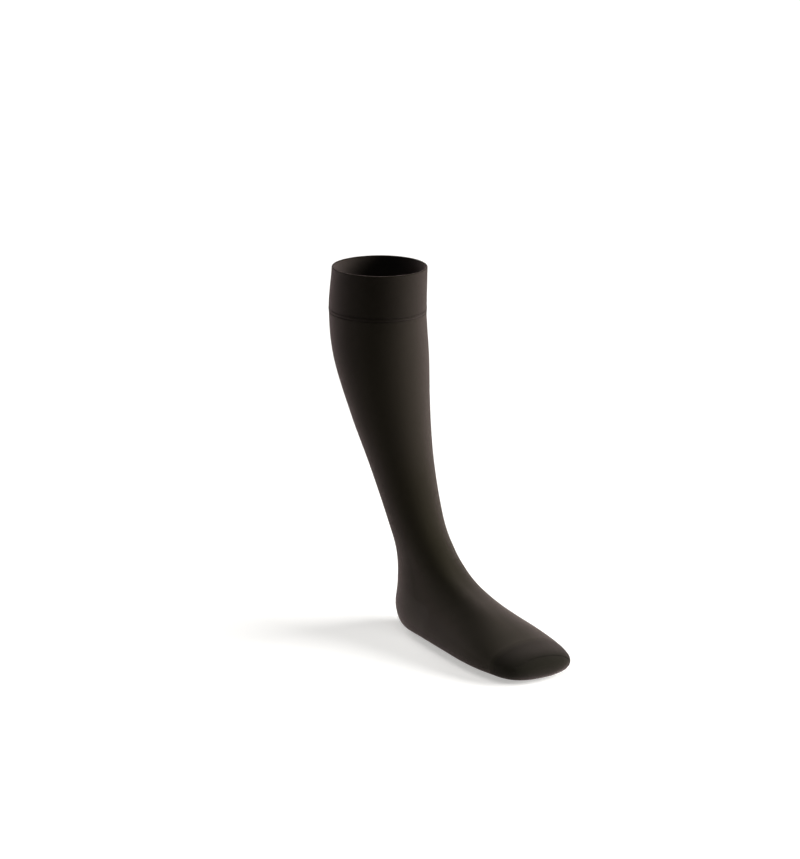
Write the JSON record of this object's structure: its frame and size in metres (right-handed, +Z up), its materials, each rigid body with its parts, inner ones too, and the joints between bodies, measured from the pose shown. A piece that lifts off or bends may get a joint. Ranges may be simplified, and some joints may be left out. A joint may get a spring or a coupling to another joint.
{
  "type": "compression stocking",
  "caption": "Below-knee compression stocking with a closed toe, hollow in its worn shape: double-knit top band, plain leg, heel pocket and reinforced toe cap.",
  "frame": {"origin": "centre of the rim, where the leg holds the stocking", "axes": "+Z up along the leg, +X towards the toes, +Y towards the other leg"},
  "size_m": [0.2735, 0.1511, 0.4159],
  "materials": {
    "band_knit": "double welt of polyamide and elastane, fine vertical wales, soft sheen",
    "leg_knit": "fine opaque microfibre compression knit, black-brown, velvety sheen at its edges",
    "heel_knit": "reinforced matt knit",
    "toe_knit": "reinforced denser matt knit"
  },
  "bodies": {
    "root": {"top_band": "band_knit", "leg_and_foot": "leg_knit", "heel_pocket": "heel_knit", "toe_cap": "toe_knit"}
  },
  "joints": []
}
